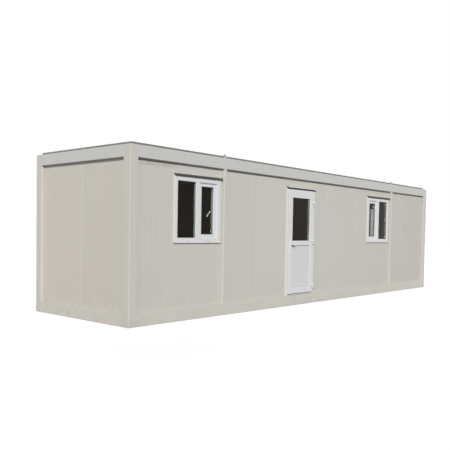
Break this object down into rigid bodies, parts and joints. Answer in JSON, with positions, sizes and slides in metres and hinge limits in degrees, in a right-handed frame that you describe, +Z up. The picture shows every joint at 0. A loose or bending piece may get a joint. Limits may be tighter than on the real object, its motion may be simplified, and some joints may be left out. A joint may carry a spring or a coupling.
{
  "type": "portable site cabin",
  "caption": "Portable site cabin: a steel frame with lifting posts and eyes, recessed ribbed wall panels, white framed windows, a half-glazed hinged door, a raised floor and a low ribbed roof.",
  "frame": {"origin": "centre of the footprint, on the ground", "axes": "+X along the front from left to right as seen from outside, +Y from the front to the back, +Z up"},
  "size_m": [10, 2.47, 2.6619],
  "materials": {
    "frame_paint": "satin light grey paint on folded steel",
    "lug_steel": "light grey paint worn to bare steel at the eye",
    "galvanised": "dull galvanised sheet",
    "roof_edge_grey": "matt mid grey",
    "floor_board": "sealed board",
    "ceiling_lining": "matt off-white",
    "panel_skin": "light grey coated steel skins on a foam core",
    "flashing_paint": "satin light grey paint on folded sheet",
    "white_plastic": "satin white",
    "white_hardware": "satin white",
    "clear_glass": "clear sealed unit",
    "threshold_aluminium": "mill finish"
  },
  "bodies": {
    "cabin": {"bottom_rail_front": "frame_paint", "bottom_rail_back": "frame_paint", "bottom_rail_left": "frame_paint", "bottom_rail_right": "frame_paint", "floor_joists": "galvanised", "floor_deck": "floor_board", "corner_post_front_left": "frame_paint", "corner_post_front_right": "frame_paint", "corner_post_back_left": "frame_paint", "corner_post_back_right": "frame_paint", "lifting_posts": "frame_paint", "lifting_lugs": "lug_steel", "top_rail_front": "frame_paint", "top_rail_back": "frame_paint", "top_rail_left": "frame_paint", "top_rail_right": "frame_paint", "ceiling": "ceiling_lining", "roof_sheet": "galvanised", "roof_edge": "roof_edge_grey", "front_panels_left": "panel_skin", "front_panels_over_door": "panel_skin", "front_panels_right": "panel_skin", "back_panels": "panel_skin", "left_end_panels": "panel_skin", "right_end_panels": "panel_skin", "window_flashings": "flashing_paint", "door_flashing": "flashing_paint", "front_left_window_frame": "white_plastic", "front_left_window_sash": "white_plastic", "front_left_window_glass": "clear_glass", "front_right_window_frame": "white_plastic", "front_right_window_sash": "white_plastic", "front_right_window_glass": "clear_glass", "right_end_window_frame": "white_plastic", "right_end_window_sash": "white_plastic", "right_end_window_glass": "clear_glass", "window_handles": "white_hardware", "door_frame": "white_plastic", "door_threshold": "threshold_aluminium", "door_hinge_brackets": "white_hardware"},
    "door": {"door_leaf": "white_plastic", "door_infill": "white_plastic", "door_glass": "clear_glass", "door_hinge_leaves": "white_hardware", "door_handle_plates": "white_hardware"},
    "lever": {"door_lever": "white_hardware"}
  },
  "joints": [
    {"name": "door_hinge", "type": "hinge", "parent": "cabin", "child": "door", "pos_m": [-0.322, -1.198, 1.2], "axis": [0, 0, 1], "range_deg": [0, 110]},
    {"name": "lever_turn", "type": "hinge", "parent": "door", "child": "lever", "pos_m": [-1.108, -1.1585, 1.17], "axis": [0, 1, 0], "range_deg": [0, 40], "stiffness_Nm_per_rad": 1.2, "springref_deg": -28.65}
  ]
}
